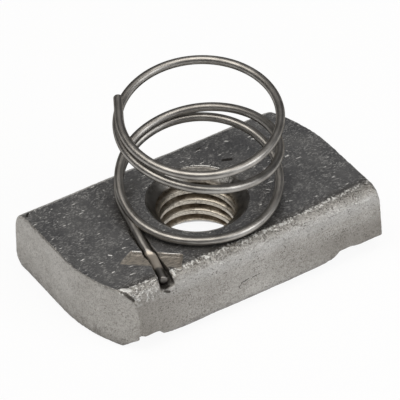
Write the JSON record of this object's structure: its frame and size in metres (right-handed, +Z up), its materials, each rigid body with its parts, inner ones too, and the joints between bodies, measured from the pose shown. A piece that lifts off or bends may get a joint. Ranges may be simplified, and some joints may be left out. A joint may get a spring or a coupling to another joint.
{
  "type": "strut spring nut",
  "caption": "Grooved strut channel nut with a threaded hole, toothed lip grooves and a coil spring clinched into a slot in its back.",
  "frame": {"origin": "on the thread axis, in the plane of the nut's underside (the boss and feet that face the channel's slot)", "axes": "+X along the nut's length, -Y towards the long side with the spring's slot, +Z up the thread axis towards the spring"},
  "size_m": [0.035, 0.0207, 0.0202],
  "materials": {
    "nut": "satin, tumbled and plated",
    "wire": "drawn stainless wire"
  },
  "bodies": {
    "root": {"nut_body": "nut", "spring": "wire"}
  },
  "joints": []
}
